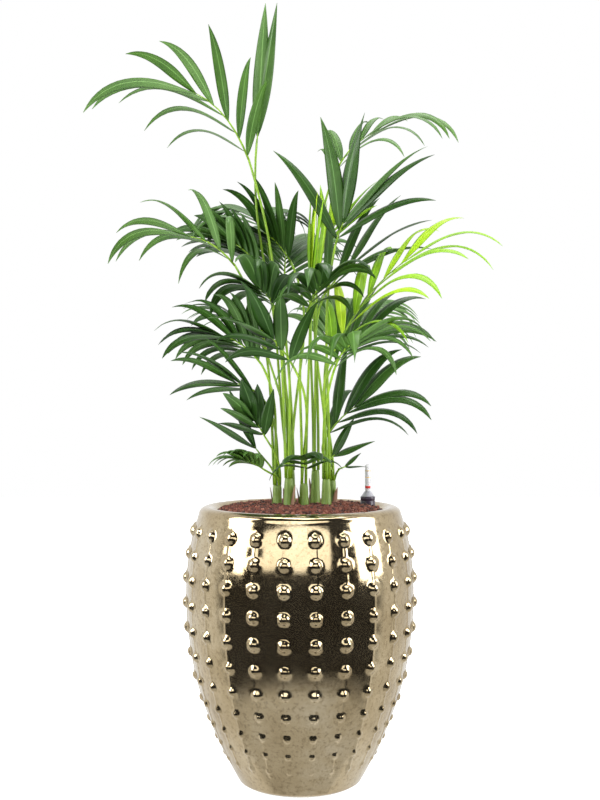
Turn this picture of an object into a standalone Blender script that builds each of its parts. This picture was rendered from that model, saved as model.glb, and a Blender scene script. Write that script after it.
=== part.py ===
"""Kentia palm in a studded, glazed planter, with clay granulate and a water gauge.

Metres, +Z up, +Y to the back. The planter stands on z = 0, on the Z axis.
"""

import math
import random
from collections import namedtuple

import bmesh
import bpy
from mathutils import Matrix, Quaternion, Vector
from mathutils.bvhtree import BVHTree

UP = Vector((0.0, 0.0, 1.0))
GAP = 0.0003

# Planter
FOOT_RADIUS = 0.108
BELLY_RADIUS = 0.203
BELLY_HEIGHT = 0.340
BELLY_SWELL = 2.11
SHOULDER_DROP = 0.024
SHOULDER_RISE = 0.145
RIM_HEIGHT = 0.478
RIM_CROWN = 0.012
OPENING_RADIUS = 0.149
WALL = 0.016
FLOOR = 0.022
THROAT_HEIGHT = 0.452
PLANTER_SIDES = 48

# Studs on the planter
STUD_COLUMNS = 24
STUD_ROWS = 11
ROUND_STUD_ROWS = 7
TOP_ROW_HEIGHT = 0.449
ROW_PITCH = 0.219
STUD_RADIUS = 0.0105
STUD_PROUD = 0.0080
SMALL_STUD_RADIUS = 0.0048
SMALL_STUD_PROUD = 0.0028
STUD_SUNK = 0.0040

# Clay granulate
GRANULATE_TOP = 0.4905
PLATEAU_RADIUS = 0.085
GRANULATE_SHOULDER = (0.122, 0.4875)
GRANULATE_EDGE = 0.4810

# Water gauge
GAUGE_PLACE = Vector((0.124, 0.035, 0.0))
GAUGE_RADIUS = 0.0135
GAUGE_FOOT = 0.440
GAUGE_SHOULDER = 0.5045
GAUGE_NECK = 0.5135
TUBE_RADIUS = 0.0048
TUBE_TOP = 0.5615

# Stems: the place of each foot, and the height of the sheath above the granulate
STEM_FOOT_RADIUS = 0.0098
STEM_TOP_RADIUS = 0.0084
STEM_SIDES = 8
Stem = namedtuple("Stem", "x y height")
STEMS = (
    Stem(-0.041, 0.000, 0.036),
    Stem(-0.020, -0.024, 0.050),
    Stem(-0.017, 0.046, 0.060),
    Stem(0.007, -0.016, 0.040),
    Stem(0.028, 0.018, 0.062),
    Stem(0.047, -0.014, 0.048),
    Stem(0.058, 0.040, 0.042),
)

# Stalks and leaflets
PETIOLE_RING = 0.0053
PETIOLE_FOOT_RADIUS = 0.0027
PETIOLE_TOP_RADIUS = 0.0021
RACHIS_TIP_RADIUS = 0.0012
FIRST_LEAFLET = 0.010
PETIOLE_OVERLAP = 0.003
PETIOLE_TRIES = 120
COLLAR_SWELL = 1.3
LEAFLET_THICKNESS = 0.012
LEAST_THICKNESS = 0.0013
WIDEST_AT = 0.38
LEAFLET_STATIONS = (0.15, 0.42, 0.72)
TEST_MARGIN = 0.0004
PATH_STEPS = 24
LEAST_BOW = 0.4
STEEPEST_FALL = -0.97

# A frond leaves its stem on a petiole that ends at the collar, where the rachis and its leaflets start.
# heading: 0 to the right, 90 to the back, 180 to the left, 270 to the front. rise: slope of the rachis.
# roll turns the frond about its rachis. lean tips its leaflets to the upper face. open is the angle
# between the lowest leaflets and the rachis, and droop is how far a leaflet bows under its weight.
# upper is the share of the leaflet length on the side that the roll lifts.
Frond = namedtuple(
    "Frond",
    "name stem collar heading rise length bend roll lean pairs leaflet width open droop tint upper",
)
FRONDS = (
    Frond("crown_left", 1, (-0.092, 0.00, 1.112), 183, 68, 0.150, 0.75, 40, 0.1, 5, 0.270, 0.024, 36, 1.2, "mid", 0.62),
    Frond("crown_top", 2, (-0.079, 0.03, 1.150), 0, 83, 0.010, 0.00, 90, 0.0, 1, 0.250, 0.028, 4, 0.1, "mid", 1.0),
    Frond("crown_right", 4, (0.061, 0.04, 1.090), 5, 64, 0.100, 0.70, 35, 0.2, 5, 0.215, 0.020, 40, 1.7, "mid", 0.45),
    Frond("upper_right", 5, (0.063, -0.04, 0.955), 0, 74, 0.030, 0.15, 75, 0.1, 3, 0.215, 0.028, 34, 0.7, "dark", 1.0),
    Frond("centre_back", 2, (-0.067, 0.09, 1.000), 105, 45, 0.060, 0.60, 0, 0.2, 4, 0.170, 0.024, 58, 2.4, "dark", 1.0),
    Frond("centre_left", 1, (-0.017, 0.05, 0.935), 178, 58, 0.050, 0.30, 45, 0.1, 3, 0.190, 0.024, 34, 1.1, "dark", 0.8),
    Frond("left_drooping", 0, (-0.115, -0.03, 0.918), 188, 50, 0.090, 0.80, 20, 0.2, 4, 0.215, 0.024, 42, 1.6, "mid", 0.8),
    Frond("left_upright", 2, (-0.069, 0.04, 0.920), 170, 50, 0.060, 0.30, 45, 0.1, 3, 0.185, 0.028, 32, 1.0, "dark", 0.62),
    Frond("bright_right", 5, (0.055, -0.05, 0.757), 358, 63, 0.200, 0.45, 32, 0.1, 6, 0.225, 0.024, 40, 1.5, "bright", 0.75),
    Frond("spear_left", 3, (0.018, -0.02, 0.860), 100, 88, 0.020, 0.00, 90, 0.0, 2, 0.190, 0.018, 9, 0.1, "bright", 1.0),
    Frond("spear_right", 4, (0.030, 0.01, 0.870), 80, 86, 0.030, 0.00, 90, 0.0, 2, 0.180, 0.016, 8, 0.1, "bright", 1.0),
    Frond("right_upright", 5, (0.044, 0.03, 0.872), 5, 54, 0.060, 0.20, 50, 0.1, 3, 0.190, 0.022, 28, 0.9, "dark", 1.0),
    Frond("right_behind", 4, (0.045, 0.07, 0.965), 10, 66, 0.040, 0.10, 60, 0.0, 2, 0.130, 0.018, 25, 0.5, "bright", 1.0),
    Frond("left_low", 0, (-0.069, -0.02, 0.744), 182, 52, 0.075, 0.70, 45, 0.1, 4, 0.150, 0.024, 36, 1.5, "dark", 1.0),
    Frond("left_lower", 0, (-0.077, 0.00, 0.693), 178, 32, 0.030, 0.30, 60, 0.1, 3, 0.150, 0.020, 24, 0.8, "dark", 1.0),
    Frond("left_broad", 0, (-0.061, -0.02, 0.612), 175, 60, 0.030, 0.00, 75, 0.0, 2, 0.095, 0.030, 32, 0.4, "dark", 1.0),
    Frond("left_forked", 0, (-0.072, 0.00, 0.583), 178, 52, 0.010, 0.00, 90, 0.0, 1, 0.120, 0.020, 15, 0.3, "dark", 1.0),
    Frond("front_left", 1, (-0.039, -0.06, 0.832), 210, 62, 0.045, 0.60, 10, 0.2, 3, 0.150, 0.030, 55, 2.2, "dark", 1.0),
    Frond("front_right", 3, (0.012, -0.08, 0.830), 310, 65, 0.050, 0.60, 10, 0.2, 3, 0.140, 0.026, 50, 2.4, "dark", 1.0),
    Frond("front_middle", 3, (-0.014, -0.09, 0.742), 200, 58, 0.050, 0.30, 50, 0.1, 2, 0.140, 0.030, 38, 1.0, "dark", 1.0),
    Frond("right_middle", 6, (0.060, 0.02, 0.745), 12, 50, 0.060, 0.30, 45, 0.1, 3, 0.175, 0.022, 32, 1.4, "dark", 1.0),
    Frond("right_arching", 5, (0.058, -0.10, 0.730), 300, 55, 0.060, 0.70, 10, 0.2, 3, 0.175, 0.026, 55, 2.2, "mid", 1.0),
    Frond("right_low", 6, (0.045, 0.00, 0.610), 5, 56, 0.070, 0.40, 50, 0.1, 4, 0.175, 0.028, 32, 1.4, "dark", 1.0),
    Frond("right_short", 6, (0.050, -0.01, 0.570), 10, 45, 0.010, 0.00, 85, 0.0, 1, 0.085, 0.018, 25, 0.3, "dark", 1.0),
    Frond("right_small", 6, (0.072, 0.02, 0.555), 10, 20, 0.006, 0.00, 60, 0.0, 1, 0.042, 0.013, 25, 0.3, "dark", 1.0),
    Frond("basal_front", 3, (0.010, -0.05, 0.556), 265, 40, 0.040, 0.50, 10, 0.2, 2, 0.085, 0.028, 55, 2.0, "dark", 1.0),
    Frond("basal_left", 0, (-0.064, -0.02, 0.556), 200, 35, 0.030, 0.40, 15, 0.2, 3, 0.085, 0.022, 42, 1.6, "mid", 1.0),
    Frond("back_high", 2, (-0.030, 0.12, 0.900), 88, 60, 0.100, 0.60, 10, 0.1, 5, 0.200, 0.024, 42, 1.7, "dark", 1.0),
    Frond("back_right", 6, (0.055, 0.11, 0.780), 55, 55, 0.090, 0.60, 15, 0.1, 5, 0.190, 0.024, 42, 1.7, "mid", 1.0),
    Frond("back_left", 2, (-0.060, 0.10, 0.760), 125, 52, 0.080, 0.60, 15, 0.1, 4, 0.180, 0.024, 42, 1.7, "dark", 1.0),
)
ONE_PIECE = {
    "crown_top", "spear_left", "spear_right", "right_behind", "left_broad", "left_forked",
    "right_short", "right_small", "basal_front", "basal_left", "front_middle",
}


def clear_scene():
    for obj in list(bpy.data.objects):
        bpy.data.objects.remove(obj, do_unlink=True)


def material(name, color, roughness, metallic=0.0):
    made = bpy.data.materials.new(name)
    made.use_nodes = True
    shader = made.node_tree.nodes["Principled BSDF"]
    shader.inputs["Base Color"].default_value = (*color, 1.0)
    shader.inputs["Roughness"].default_value = roughness
    shader.inputs["Metallic"].default_value = metallic
    return made


def add_object(name, mesh, finish=None):
    obj = bpy.data.objects.new(name, mesh)
    bpy.context.scene.collection.objects.link(obj)
    if finish:
        mesh.materials.append(finish)
    return obj


def mesh_from(name, points, faces):
    mesh = bpy.data.meshes.new(name)
    mesh.from_pydata([tuple(point) for point in points], [], faces)
    mesh.update()
    return mesh


def as_helper(obj):
    obj.hide_render = True
    obj.display_type = "WIRE"


def turned(name, profile, sides, finish):
    """A solid of revolution about Z. The profile runs down its outer side, from the axis to the axis."""
    points = [(radius, 0.0, height) for radius, height in profile]
    mesh = bpy.data.meshes.new(name)
    mesh.from_pydata(points, [(i, i + 1) for i in range(len(points) - 1)], [])
    obj = add_object(name, mesh, finish)
    screw = obj.modifiers.new("Screw", "SCREW")
    screw.steps = sides
    screw.render_steps = sides
    screw.use_merge_vertices = True
    screw.merge_threshold = 0.00001
    screw.use_smooth_shade = True
    return obj


# Planter
def outer_radius(height):
    """Radius of the bare wall: a long taper below the belly and a shorter one above it."""
    if height < BELLY_HEIGHT:
        drop = (BELLY_HEIGHT - height) / BELLY_HEIGHT
        return BELLY_RADIUS - (BELLY_RADIUS - FOOT_RADIUS) * drop**BELLY_SWELL
    return BELLY_RADIUS - SHOULDER_DROP * ((height - BELLY_HEIGHT) / SHOULDER_RISE) ** 2


def outer_slope(height):
    step = 0.001
    return (outer_radius(height + step) - outer_radius(height - step)) / (2 * step)


def cavity_profile(clearance):
    """The inside of the wall, from the floor up to the opening."""
    heights = (0.10, 0.21, 0.34)
    profile = [(outer_radius(FLOOR) - WALL - clearance, FLOOR + clearance)]
    profile += [(outer_radius(height) - WALL - clearance, height) for height in heights]
    profile.append((OPENING_RADIUS - clearance, THROAT_HEIGHT))
    return profile


def planter(finish):
    rim_outer = outer_radius(RIM_HEIGHT)
    rim_middle = (rim_outer + OPENING_RADIUS) / 2
    rim_half = (rim_outer - OPENING_RADIUS) / 2
    rim_steps = 4
    profile = [(0.0, FLOOR)] + cavity_profile(0.0)
    for i in range(rim_steps + 1):
        angle = math.pi * (1 - i / rim_steps)
        profile.append((rim_middle + rim_half * math.cos(angle), RIM_HEIGHT + RIM_CROWN * math.sin(angle)))
    wall_heights = (0.42, 0.35, 0.28, 0.21, 0.14, 0.07, 0.006)
    profile += [(outer_radius(height), height) for height in wall_heights]
    profile += [(FOOT_RADIUS - 0.004, 0.0), (0.0, 0.0)]
    pot = turned("planter", profile, PLANTER_SIDES, finish)
    union = pot.modifiers.new("Studs", "BOOLEAN")
    union.operation = "UNION"
    union.object = studs()
    return pot


def stud_rows():
    """Height of each row: rows lie a fixed share of the local radius apart, measured along the wall."""
    heights = [TOP_ROW_HEIGHT]
    while len(heights) < STUD_ROWS:
        height = heights[-1]
        slope = outer_slope(height)
        heights.append(height - ROW_PITCH * outer_radius(height) / math.sqrt(1 + slope * slope))
    return heights


def studs():
    """All the studs in one helper: rounded knobs above, small points near the foot."""
    points, faces = [], []
    for row, height in enumerate(stud_rows()):
        small = max(0, row - ROUND_STUD_ROWS + 3) / (STUD_ROWS - ROUND_STUD_ROWS + 2)
        radius = STUD_RADIUS + (SMALL_STUD_RADIUS - STUD_RADIUS) * small
        proud = STUD_PROUD + (SMALL_STUD_PROUD - STUD_PROUD) * small
        sides = 6 if row < ROUND_STUD_ROWS else 5
        rings = [(radius * 1.06, -STUD_SUNK), (radius * 0.70, 0.80 * proud)]
        if row >= ROUND_STUD_ROWS:
            rings = [(radius * (1 + STUD_SUNK / proud), -STUD_SUNK)]
        slope = outer_slope(height)
        for column in range(STUD_COLUMNS):
            angle = 2 * math.pi * (column + 0.5) / STUD_COLUMNS
            outward = Vector((math.cos(angle), math.sin(angle), -slope)).normalized()
            across = Vector((-math.sin(angle), math.cos(angle), 0.0))
            along = outward.cross(across)
            centre = Vector((math.cos(angle), math.sin(angle), 0.0)) * outer_radius(height)
            centre.z = height
            start = len(points)
            for ring_radius, lift in rings:
                for side in range(sides):
                    turn = 2 * math.pi * (side + 0.5) / sides
                    spoke = across * math.cos(turn) + along * math.sin(turn)
                    points.append(centre + outward * lift + spoke * ring_radius)
            points.append(centre + outward * proud)
            faces += capped_rings(start, sides, len(rings))
    helper = add_object("stud_shapes", mesh_from("stud_shapes", points, faces))
    as_helper(helper)
    return helper


def capped_rings(start, sides, rings):
    """Faces of a closed body: a flat first ring, then bands, then a point."""
    faces = [[start + side for side in reversed(range(sides))]]
    for ring in range(rings - 1):
        low = start + ring * sides
        for side in range(sides):
            after = (side + 1) % sides
            faces.append([low + side, low + after, low + sides + after, low + sides + side])
    last = start + (rings - 1) * sides
    tip = start + rings * sides
    faces += [[last + side, last + (side + 1) % sides, tip] for side in range(sides)]
    return faces


# Clay granulate and water gauge
def granulate(finish):
    profile = [(0.0, GRANULATE_TOP), (PLATEAU_RADIUS, GRANULATE_TOP), GRANULATE_SHOULDER]
    profile.append((OPENING_RADIUS - GAP, GRANULATE_EDGE))
    profile += reversed(cavity_profile(GAP))
    profile.append((0.0, FLOOR + GAP))
    body = turned("clay_granulate", profile, PLANTER_SIDES, finish)
    pocket_profile = (
        (0.0, GAUGE_SHOULDER),
        (GAUGE_RADIUS + GAP, GAUGE_SHOULDER),
        (GAUGE_RADIUS + GAP, GAUGE_FOOT - GAP),
        (0.0, GAUGE_FOOT - GAP),
    )
    pocket = turned("gauge_pocket", pocket_profile, 20, None)
    pocket.location = GAUGE_PLACE
    as_helper(pocket)
    cut = body.modifiers.new("Gauge pocket", "BOOLEAN")
    cut.operation = "DIFFERENCE"
    cut.object = pocket
    return body


def gauge(body_finish, tube_finish):
    body_profile = (
        (0.0, GAUGE_NECK),
        (TUBE_RADIUS + 0.0006, GAUGE_NECK),
        (GAUGE_RADIUS, GAUGE_SHOULDER),
        (GAUGE_RADIUS, GAUGE_FOOT),
        (0.0, GAUGE_FOOT),
    )
    tube_profile = (
        (0.0, TUBE_TOP),
        (TUBE_RADIUS * 0.8, TUBE_TOP),
        (TUBE_RADIUS, TUBE_TOP - 0.001),
        (TUBE_RADIUS, GAUGE_NECK + GAP),
        (0.0, GAUGE_NECK + GAP),
    )
    turned("gauge_body", body_profile, 20, body_finish).location = GAUGE_PLACE
    turned("gauge_tube", tube_profile, 12, tube_finish).location = GAUGE_PLACE


# Stems
def stem_top(index):
    stem = STEMS[index]
    return Vector((stem.x, stem.y, GRANULATE_TOP + GAP + stem.height))


def stem(index, finish):
    height = STEMS[index].height
    profile = (
        (0.0, height),
        (STEM_TOP_RADIUS, height),
        (STEM_TOP_RADIUS + 0.0003, height * 0.45),
        (STEM_FOOT_RADIUS, 0.0),
        (0.0, 0.0),
    )
    obj = turned(f"stem_{index + 1}", profile, STEM_SIDES, finish)
    obj.location = (STEMS[index].x, STEMS[index].y, GRANULATE_TOP + GAP)
    return obj


# Paths of stalks and leaflets
def bowed_path(start, direction, length, bow, suppleness, least=LEAST_BOW):
    """Points along a stalk or leaflet that sets out straight and turns down by about bow radians.

    Level stretches turn most, steep ones by at least the share least. A higher suppleness leaves
    more of the turn to the tip.
    """
    points = [start.copy()]
    heading = direction.normalized()
    for i in range(PATH_STEPS):
        share = (i + 0.5) / PATH_STEPS
        level = math.hypot(heading.x, heading.y)
        turn = bow * (suppleness + 1) * share**suppleness / PATH_STEPS * max(level, least)
        if heading.z > STEEPEST_FALL:
            heading = Quaternion(heading.cross(UP).normalized(), -turn) @ heading
        points.append(points[-1] + heading * (length / PATH_STEPS))
    return points


def bezier_path(start, start_pull, end_pull, end):
    points = []
    for i in range(PATH_STEPS + 1):
        t = i / PATH_STEPS
        u = 1 - t
        points.append(start * u**3 + start_pull * (3 * u * u * t) + end_pull * (3 * u * t * t) + end * t**3)
    return points


def at_share(points, share):
    """Point and direction at a share of the path's length."""
    place = min(max(share, 0.0), 1.0) * (len(points) - 1)
    index = min(int(place), len(points) - 2)
    step = points[index + 1] - points[index]
    return points[index] + step * (place - index), step.normalized()


def frond_axes(frond):
    """Direction of the rachis at the collar, the way its leaflets open, and the frond's upper face."""
    heading = math.radians(frond.heading)
    rise = math.radians(frond.rise)
    level = math.cos(rise)
    forward = Vector((level * math.cos(heading), level * math.sin(heading), math.sin(rise)))
    face = (UP - forward * UP.dot(forward)).normalized()
    turn = Quaternion(forward, math.radians(frond.roll))
    face = turn @ face
    return forward, forward.cross(face), face


def foot_angles():
    """Where round its stem's top each petiole starts: evenly spaced, each as near its collar's side as can be."""
    angles = {}
    for index, place in enumerate(STEMS):
        bound = {
            frond.name: math.atan2(frond.collar[1] - place.y, frond.collar[0] - place.x)
            for frond in FRONDS if frond.stem == index
        }
        names = sorted(bound, key=bound.get)
        spacing = 2 * math.pi / len(names)
        offsets = [bound[name] - spacing * i for i, name in enumerate(names)]
        turn = math.atan2(sum(map(math.sin, offsets)), sum(map(math.cos, offsets)))
        angles.update({name: turn + spacing * i for i, name in enumerate(names)})
    return angles


def petiole_paths(frond, angle):
    """The petiole's likely path first, then others that bow a little to each side of it."""
    root = stem_top(frond.stem) + Vector((math.cos(angle), math.sin(angle), 0.0)) * PETIOLE_RING
    root.z += GAP
    collar = Vector(frond.collar)
    forward = frond_axes(frond)[0]
    reach = (collar - root).length
    rising = root + (UP * 0.9 + (collar - root).normalized() * 0.3) * (0.40 * reach)
    arriving = collar - (forward + UP * 0.3).normalized() * (0.33 * reach)
    for step in range(PETIOLE_TRIES):
        aside = Matrix.Rotation(2.4 * step, 3, "Z") @ Vector((0.0028 * math.sqrt(step), 0.0, 0.0))
        yield bezier_path(root, rising + aside, arriving + aside * 1.2, collar)


# Meshes of stalks and leaflets
def tube_mesh(points, radii, sides, first=None, last=None):
    """A closed stalk with flat ends, which may be squared to a given first or last direction."""
    corners, faces = [], []
    for index, point in enumerate(points):
        before = points[max(index - 1, 0)]
        after = points[min(index + 1, len(points) - 1)]
        tangent = (after - before).normalized()
        if first and index == 0:
            tangent = first
        if last and index == len(points) - 1:
            tangent = last
        across = tangent.cross(Vector((0.3, 1.0, 0.0))).normalized()
        along = tangent.cross(across)
        for side in range(sides):
            turn = 2 * math.pi * side / sides
            corners.append(point + (across * math.cos(turn) + along * math.sin(turn)) * radii[index])
    for index in range(len(points) - 1):
        low = index * sides
        for side in range(sides):
            after = (side + 1) % sides
            faces.append([low + side, low + after, low + sides + after, low + sides + side])
    faces.append(list(reversed(range(sides))))
    faces.append([(len(points) - 1) * sides + side for side in range(sides)])
    return corners, faces


def leaflet_outline(share):
    """Width of a leaflet along its length, as a share of its greatest width."""
    if share < WIDEST_AT:
        return 0.12 + 0.88 * math.sin(math.pi / 2 * share / WIDEST_AT) ** 0.8
    return math.cos(math.pi / 2 * (share - WIDEST_AT) / (1 - WIDEST_AT)) ** 0.85


def blade_axes(direction, face, twist):
    """The way across a leaflet's blade and the way out of its upper face, which turns to the sky."""
    wanted = UP * 0.8 + face * 0.6
    normal = (wanted - direction * wanted.dot(direction)).normalized()
    normal = Quaternion(direction, twist) @ normal
    return direction.cross(normal), normal


def leaflet_mesh(leaflet, margin=0.0):
    """A thin blade with a flat top and a keel under it, from its sunk root to its point."""
    thickness = max(LEAFLET_THICKNESS * leaflet.length, LEAST_THICKNESS)
    corners = [leaflet.path[0].copy()]
    for share in LEAFLET_STATIONS:
        point, direction = at_share(leaflet.path, share)
        across, normal = blade_axes(direction, leaflet.face, leaflet.twist * share)
        half = leaflet.width / 2 * leaflet_outline(share)
        depth = min(thickness, half * 1.2) + margin
        corners += [
            point - across * (half + margin) + normal * margin,
            point - normal * depth,
            point + across * (half + margin) + normal * margin,
        ]
    corners.append(leaflet.path[-1].copy())
    faces = capped_rings(1, 3, len(LEAFLET_STATIONS))[1:]
    faces += [[1 + (side + 1) % 3, 1 + side, 0] for side in range(3)]
    return corners, faces


# The frond rule
Leaflet = namedtuple("Leaflet", "path length width face twist")
Grown = namedtuple("Grown", "frond petiole rachis leaflets")


def tree_of(shape):
    return BVHTree.FromPolygons([tuple(point) for point in shape[0]], shape[1])


def petiole_radius(frond, share):
    slim = 0.8 if frond.leaflet < 0.13 else 1.0
    return slim * (PETIOLE_FOOT_RADIUS + (PETIOLE_TOP_RADIUS - PETIOLE_FOOT_RADIUS) * share)


def petiole_mesh(frond, path, margin=0.0):
    shares = [i / 5 for i in range(6)]
    points = [at_share(path, share)[0] for share in shares]
    radii = [petiole_radius(frond, share) + margin for share in shares]
    return tube_mesh(points, radii, 4, first=UP, last=frond_axes(frond)[0])


def rachis_mesh(frond, path, margin=0.0):
    start = petiole_radius(frond, 1.0) * (COLLAR_SWELL if frond.name in ONE_PIECE else 1.0)
    last = len(path) - 1
    radii = [start + (RACHIS_TIP_RADIUS - start) * i / last + margin for i in range(last + 1)]
    return tube_mesh(path, radii, 4, first=frond_axes(frond)[0])


def rachis_path(frond):
    """The rachis as a few straight lengths, so that every leaflet's root lies inside it."""
    forward = frond_axes(frond)[0]
    start = Vector(frond.collar)
    start += forward * (-PETIOLE_OVERLAP if frond.name in ONE_PIECE else GAP)
    smooth = bowed_path(start, forward, frond.length + FIRST_LEAFLET, frond.bend, 0.6, 1.0)
    lengths = min(frond.pairs + 1, 6)
    return [at_share(smooth, i / lengths)[0] for i in range(lengths + 1)]


def wanted_leaflets(frond, chance):
    """Place and bearing of each leaflet: pairs that lie closer to the rachis toward its tip."""
    lift = frond_axes(frond)[1].z
    for pair in range(frond.pairs):
        rank = pair / (frond.pairs - 1) if frond.pairs > 1 else 0.5
        for side in (-1, 1):
            reach = frond.leaflet * (frond.upper if lift * side > 0.15 else 1.0)
            along = (FIRST_LEAFLET + frond.length * (rank + 0.04 * side)) / (frond.length + FIRST_LEAFLET)
            yield {
                "share": min(max(along, FIRST_LEAFLET * 0.7 / (frond.length + FIRST_LEAFLET)), 0.97),
                "side": side,
                "open": math.radians(frond.open * (1.15 - 0.65 * rank) + chance.uniform(-4, 4)),
                "length": reach * (0.8 + 0.2 * math.sin(math.pi * (0.25 + 0.6 * rank)))
                * chance.uniform(0.93, 1.05),
                "width": frond.width * (0.78 + 0.34 * rank) * chance.uniform(0.9, 1.08),
                "droop": frond.droop * chance.uniform(0.8, 1.25),
                "twist": math.radians(chance.uniform(-35, 35)),
                "lean": frond.lean + chance.uniform(0.0, 0.1),
            }


def leaflet_tries(frond, rachis, wanted):
    """The leaflet as wanted, then the same one turned a little round the rachis or opened more or less."""
    forward, side_way, face = frond_axes(frond)
    point, along = at_share(rachis, wanted["share"])
    swing = forward.rotation_difference(along)
    side_way = swing @ side_way
    face = swing @ face
    for turn, opening in (
        (0, 0), (8, 0), (-8, 0), (0, 6), (0, -6), (15, 4), (-15, 4), (22, 0), (-22, 0),
        (30, 6), (-30, 6), (0, 14), (12, 14), (-12, 14), (40, 0), (-40, 0),
    ):
        open_angle = wanted["open"] + math.radians(opening)
        outward = Quaternion(along, math.radians(turn)) @ (side_way * wanted["side"])
        direction = along * math.cos(open_angle) + outward * math.sin(open_angle) + face * wanted["lean"]
        path = bowed_path(point, direction, wanted["length"], wanted["droop"], 1.1)
        yield Leaflet(path, wanted["length"], wanted["width"], face, wanted["twist"])


def clear_of(shape, trees):
    tree = tree_of(shape)
    return not any(tree.overlap(other) for other in trees)


def grow(solid_trees):
    """Every frond's petiole, rachis and leaflets, each clear of the other nodes. One that can't be is left out."""
    angles = foot_angles()
    petioles, rachises, stalk_trees = {}, {}, {}
    for frond in FRONDS:
        rachis = rachis_path(frond)
        others = [tree for trees in stalk_trees.values() for tree in trees] + solid_trees
        for path in petiole_paths(frond, angles[frond.name]):
            if clear_of(petiole_mesh(frond, path, TEST_MARGIN), others):
                break
        petioles[frond.name], rachises[frond.name] = path, rachis
        stalk_trees[frond.name] = [tree_of(petiole_mesh(frond, path)), tree_of(rachis_mesh(frond, rachis))]
    grown, leaf_trees = [], {frond.name: [] for frond in FRONDS}
    for index, frond in enumerate(FRONDS):
        chance = random.Random(100 + index)
        own = [] if frond.name in ONE_PIECE else stalk_trees[frond.name][:1]
        others = own + solid_trees
        for name, trees in stalk_trees.items():
            if name != frond.name:
                others = others + trees + leaf_trees[name]
        leaflets = []
        for wanted in wanted_leaflets(frond, chance):
            for leaflet in leaflet_tries(frond, rachises[frond.name], wanted):
                if clear_of(leaflet_mesh(leaflet, TEST_MARGIN), others):
                    leaflets.append(leaflet)
                    leaf_trees[frond.name].append(tree_of(leaflet_mesh(leaflet)))
                    break
        grown.append(Grown(frond, petioles[frond.name], rachises[frond.name], leaflets))
    return grown


def shells(shape):
    """The faces of a bmesh in groups that hang together by their edges, largest group first."""
    waiting = set(shape.faces)
    groups = []
    while waiting:
        group, edge_on = [], [waiting.pop()]
        while edge_on:
            face = edge_on.pop()
            group.append(face)
            near = {other for edge in face.edges for other in edge.link_faces} & waiting
            waiting -= near
            edge_on += near
        groups.append(group)
    return sorted(groups, key=len, reverse=True)


def drop_scraps(mesh):
    """Keeps the largest shell, and says whether every edge then joins just two faces."""
    shape = bmesh.new()
    shape.from_mesh(mesh)
    shape.faces.ensure_lookup_table()
    scraps = [face for group in shells(shape)[1:] for face in group]
    bmesh.ops.delete(shape, geom=scraps, context="FACES")
    closed = all(len(edge.link_faces) == 2 for edge in shape.edges)
    shape.to_mesh(mesh)
    shape.free()
    return closed


def union_of(name, shapes, finish):
    """One solid from overlapping closed shapes. A leaflet that doesn't join cleanly is left out."""
    if join(name, shapes, finish):
        return
    kept = shapes[:2]
    for shape in shapes[2:] + [None]:
        bpy.data.objects.remove(bpy.data.objects[name], do_unlink=True)
        if shape and join(name, kept + [shape], finish):
            kept.append(shape)
        elif not shape:
            join(name, kept, finish)


def join(name, shapes, finish):
    """One Boolean union on a collection, which is applied."""
    body = add_object(name, mesh_from(name, *shapes[0]), finish)
    gathered = bpy.data.collections.new(name + "_shapes")
    bpy.context.scene.collection.children.link(gathered)
    for index, shape in enumerate(shapes[1:]):
        piece = bpy.data.objects.new(f"{name}_shape_{index}", mesh_from(name, *shape))
        gathered.objects.link(piece)
    union = body.modifiers.new("Union", "BOOLEAN")
    union.operation = "UNION"
    union.operand_type = "COLLECTION"
    union.collection = gathered
    bpy.context.view_layer.update()
    joined = bpy.data.meshes.new_from_object(body.evaluated_get(bpy.context.evaluated_depsgraph_get()))
    body.modifiers.clear()
    body.data = joined
    for piece in list(gathered.objects):
        bpy.data.objects.remove(piece, do_unlink=True)
    bpy.data.collections.remove(gathered)
    joined.name = name
    return drop_scraps(joined)


def build_fronds(grown, stalk_finish, blade_finishes):
    for one in grown:
        stalk = petiole_mesh(one.frond, one.petiole)
        blade = [rachis_mesh(one.frond, one.rachis)] + [leaflet_mesh(leaflet) for leaflet in one.leaflets]
        if one.frond.name in ONE_PIECE:
            blade.insert(1, stalk)
        else:
            add_object("petiole_" + one.frond.name, mesh_from("petiole", *stalk), stalk_finish)
        union_of("frond_" + one.frond.name, blade, blade_finishes[one.frond.tint])


def solid_shapes():
    """Trees of the planter's rim, the granulate, the gauge and the stems, for the leaflets to keep clear of."""
    graph = bpy.context.evaluated_depsgraph_get()
    names = ["planter", "clay_granulate", "gauge_body", "gauge_tube"]
    names += [f"stem_{index + 1}" for index in range(len(STEMS))]
    trees = []
    for name in names:
        shape = bmesh.new()
        shape.from_object(bpy.data.objects[name], graph)
        shape.transform(bpy.data.objects[name].matrix_world)
        trees.append(BVHTree.FromBMesh(shape))
        shape.free()
    return trees


def main():
    clear_scene()
    planter(material("glazed_planter", (0.55, 0.49, 0.38), 0.18, 0.9))
    granulate(material("clay_grains", (0.33, 0.12, 0.08), 0.9))
    gauge(material("gauge_plastic", (0.10, 0.07, 0.11), 0.3), material("gauge_clear", (0.75, 0.75, 0.78), 0.25))
    stem_finish = material("stem_sheath", (0.20, 0.33, 0.05), 0.5)
    for index in range(len(STEMS)):
        stem(index, stem_finish)
    bpy.context.view_layer.update()
    grown = grow(solid_shapes())
    blade_finishes = {
        "dark": material("leaf_dark", (0.05, 0.12, 0.04), 0.45),
        "mid": material("leaf_mid", (0.10, 0.22, 0.06), 0.45),
        "bright": material("leaf_bright", (0.28, 0.45, 0.05), 0.45),
    }
    build_fronds(grown, material("petiole_lime", (0.30, 0.45, 0.05), 0.45), blade_finishes)


main()
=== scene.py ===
"""Looks of the kentia palm in its studded, glazed planter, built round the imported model.

Metres, +Z up, +Y to the back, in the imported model's frame.
"""

import math
import random
from collections import namedtuple

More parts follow.
